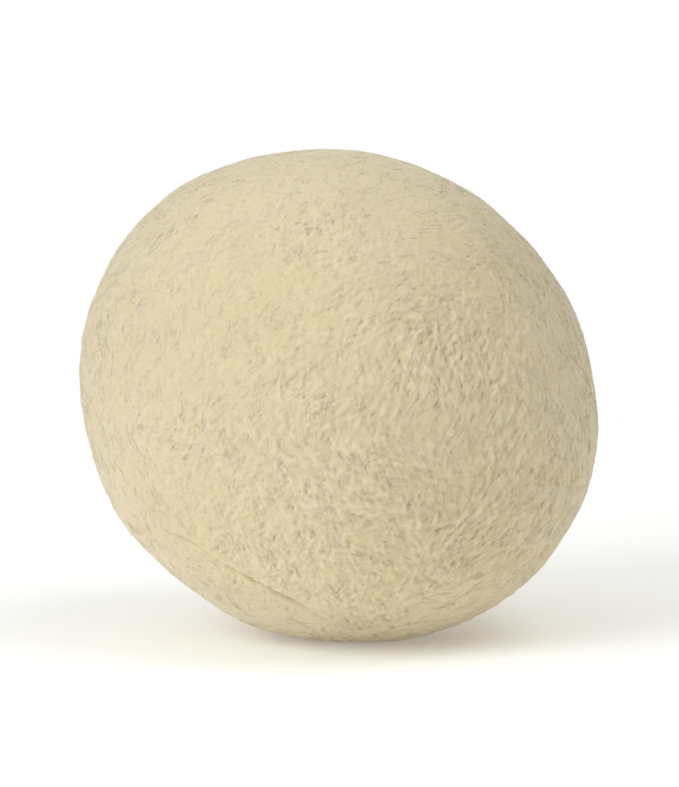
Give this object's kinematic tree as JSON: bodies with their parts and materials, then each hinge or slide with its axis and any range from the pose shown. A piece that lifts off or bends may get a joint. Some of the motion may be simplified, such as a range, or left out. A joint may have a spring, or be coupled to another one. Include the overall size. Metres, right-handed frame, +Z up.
{
  "type": "wool dryer ball",
  "caption": "Solid felted wool ball, slightly oval, tumbled with laundry in a dryer to keep the load apart and soften it.",
  "frame": {"origin": "on the surface that the ball rests on, under the middle of its bounding box", "axes": "+Z up, +X to the right as seen from the front, in the upright plane of the ball's long axis, which dips towards +X; -Y is the front"},
  "size_m": [0.0768, 0.0746, 0.0729],
  "materials": {
    "outer_wool": "matte felted cream wool",
    "wrap_wool": "matte felted cream wool",
    "core_wool": "matte felted wool"
  },
  "bodies": {
    "root": {"core_wad": "core_wool", "wrap_1_long_strip": "wrap_wool", "wrap_1_cross_strip": "wrap_wool", "wrap_2_long_strip": "wrap_wool", "wrap_2_cross_strip": "wrap_wool", "wrap_3_long_strip": "wrap_wool", "wrap_3_cross_strip": "wrap_wool", "wrap_4_long_strip": "wrap_wool", "wrap_4_cross_strip": "wrap_wool", "outer_wrap_back": "outer_wool", "outer_wrap_front": "outer_wool"}
  },
  "joints": []
}
